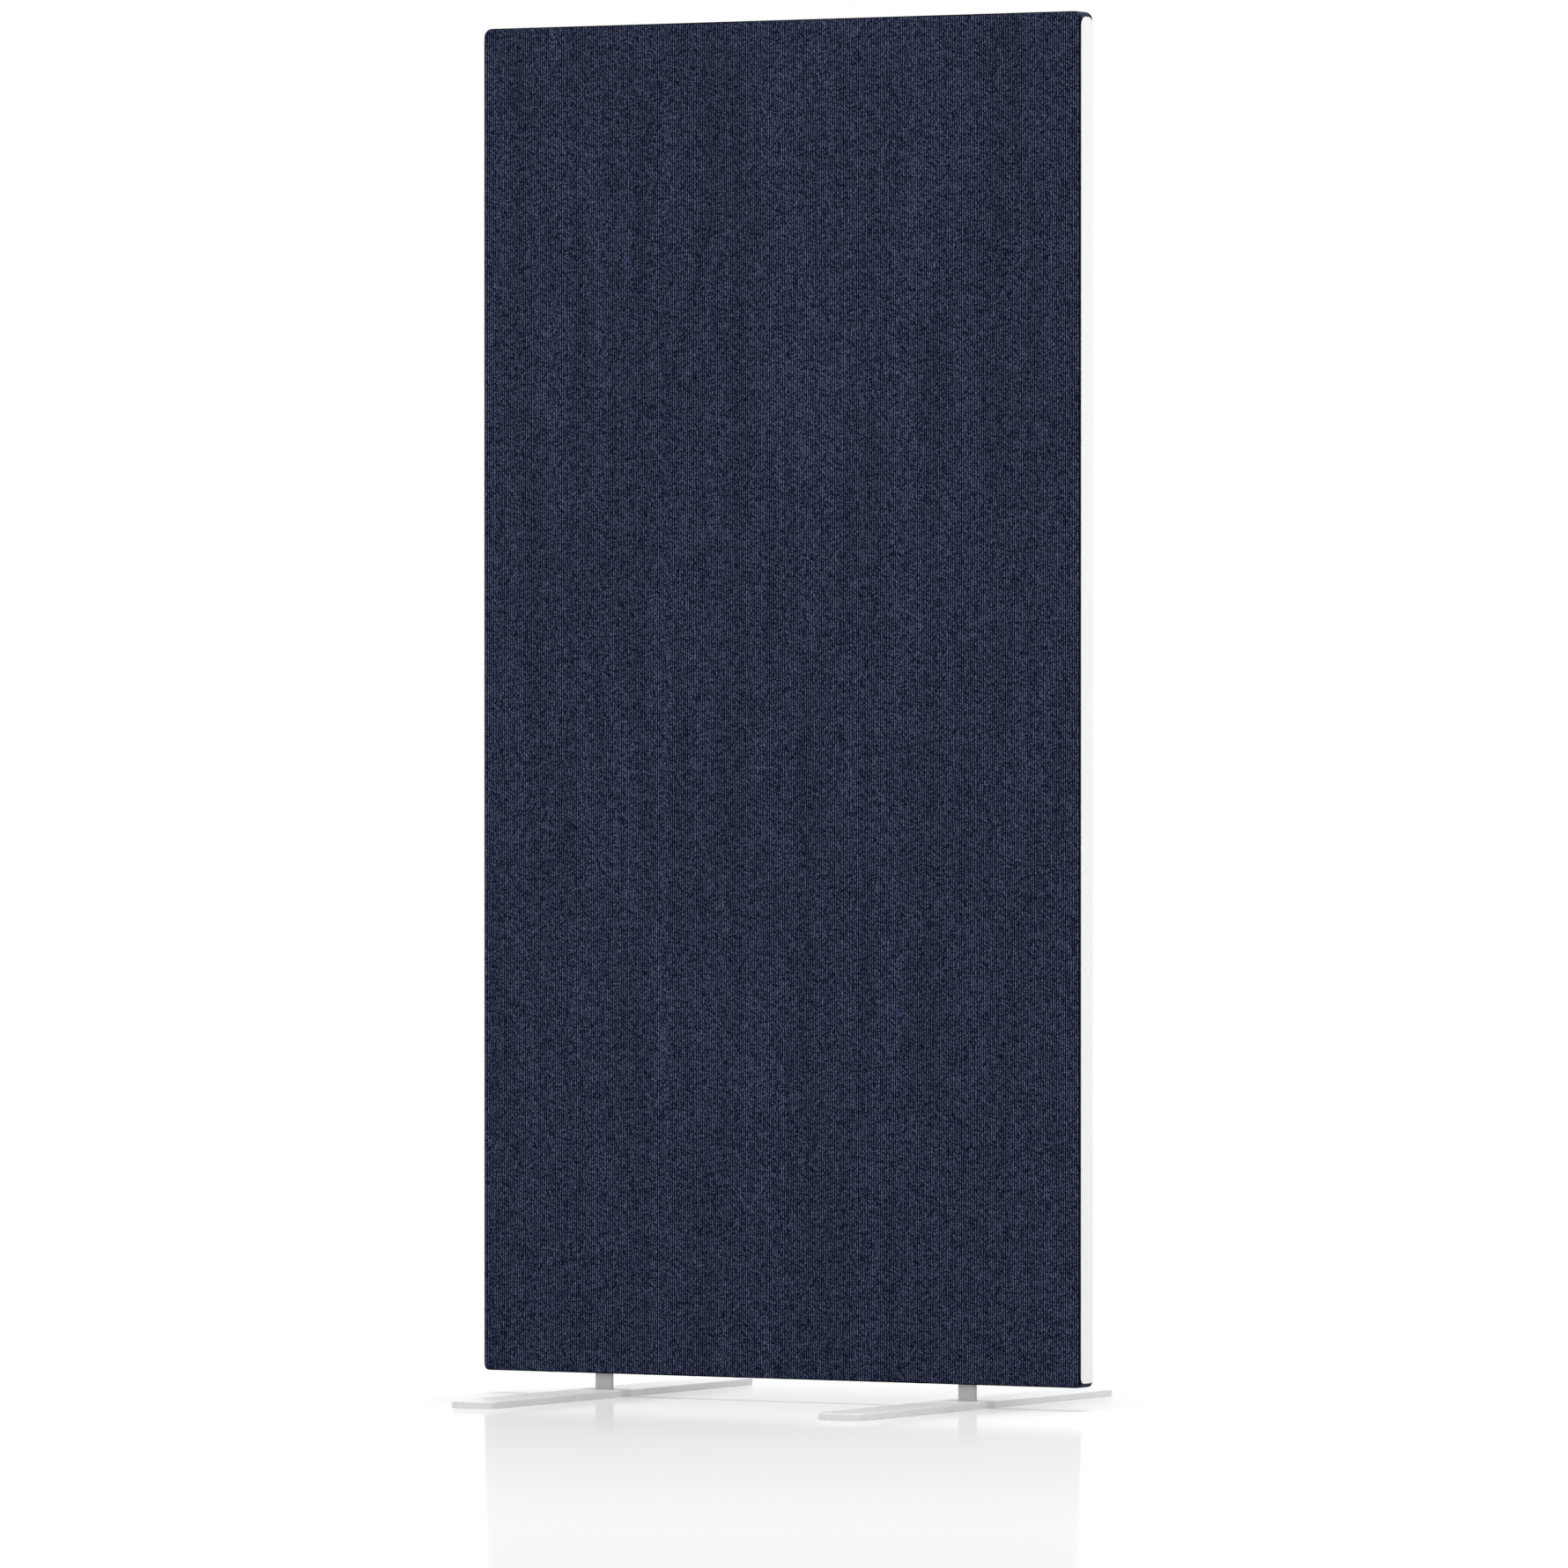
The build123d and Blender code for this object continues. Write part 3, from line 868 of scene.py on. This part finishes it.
def make_floor():
    """A pale floor that fades to pure white, keeps shadows and has a faint mirror near the object."""
    shape = bmesh.new()
    bmesh.ops.create_circle(shape, cap_ends=True, segments=FLOOR_SIDES, radius=FLOOR_REACH)
    floor = object_from_shape("floor", shape)

    f = Finish("floor", 1.0)
    seen = f.node("LightPath").outputs["Is Camera Ray"]
    away = f.node("VectorMath", {0: f.place()}, operation="LENGTH").outputs["Value"]
    fade = f.spread(away, FLOOR_FADE_FROM, FLOOR_FADE_TO)
    shaded = f.math("MULTIPLY", f.math("SUBTRACT", 1.0, fade), FLOOR_SHADED)
    change = f.math("MULTIPLY", seen, f.math("SUBTRACT", shaded, FLOOR_ALBEDO))
    grey = f.math("ADD", change, FLOOR_ALBEDO)
    colour = f.node("CombineXYZ", {0: grey, 1: grey, 2: grey}).outputs[0]
    glow = f.math("ADD", f.math("MULTIPLY", fade, FLOOR_FAR_GLOW - FLOOR_GLOW), FLOOR_GLOW)
    glow = f.math("MULTIPLY", glow, seen)
    diffuse = f.node("BsdfDiffuse", {"Color": colour})
    emission = f.node("Emission", {"Strength": glow})
    base = f.node("AddShader", {0: diffuse.outputs[0], 1: emission.outputs[0]})
    gloss = f.node("BsdfAnisotropic", {"Roughness": MIRROR_ROUGHNESS})
    fall = f.math("POWER", math.exp(-1 / MIRROR_FALL), away)
    share = f.math("MULTIPLY", f.math("MULTIPLY", fall, MIRROR_SHARE), seen)
    both = f.node("MixShader", {0: share, 1: base.outputs[0], 2: gloss.outputs[0]})
    output = f.tree.nodes["Material Output"]
    f.tree.links.new(both.outputs[0], output.inputs["Surface"])
    floor.data.materials.append(f.material)


def make_world():
    """An even white surround: plain light on the object, and pure white where it is seen."""
    world = bpy.data.worlds.new("studio")
    bpy.context.scene.world = world
    world.use_nodes = True
    tree = world.node_tree
    background = tree.nodes["Background"]
    background.inputs["Color"].default_value = (1, 1, 1, 1)
    path = tree.nodes.new("ShaderNodeLightPath")
    total = path.outputs["Is Camera Ray"]
    for name in ("Is Glossy Ray", "Is Transmission Ray"):
        made = tree.nodes.new("ShaderNodeMath")
        made.operation = "MAXIMUM"
        tree.links.new(total, made.inputs[0])
        tree.links.new(path.outputs[name], made.inputs[1])
        total = made.outputs[0]
    strength = tree.nodes.new("ShaderNodeMapRange")
    strength.inputs["To Min"].default_value = AMBIENT
    strength.inputs["To Max"].default_value = 1.0
    tree.links.new(total, strength.inputs["Value"])
    tree.links.new(strength.outputs["Result"], background.inputs["Strength"])


def make_lamp(name, place, size, power):
    """A square softbox that faces the middle of the screen."""
    lamp = bpy.data.lights.new(name, "AREA")
    lamp.size = size
    lamp.energy = power
    holder = link_object(name, lamp)
    holder.location = place
    ahead = Vector(LAMP_TARGET) - Vector(place)
    holder.rotation_euler = ahead.to_track_quat("-Z", "Y").to_euler()


def make_camera():
    camera = bpy.data.cameras.new("camera")
    camera.sensor_width = SENSOR
    camera.lens = CAMERA_LENS
    holder = link_object("camera", camera)
    holder.location = CAMERA_PLACE
    holder.rotation_euler = (math.radians(90 + CAMERA_PITCH), 0, math.radians(CAMERA_YAW))
    bpy.context.scene.camera = holder


dress_soft_pieces()
dress_hard_pieces()
make_floor()
make_world()
for name, place, size, power in LAMPS:
    make_lamp(name, place, size, power)
make_camera()
bpy.context.scene.view_settings.view_transform = "Standard"
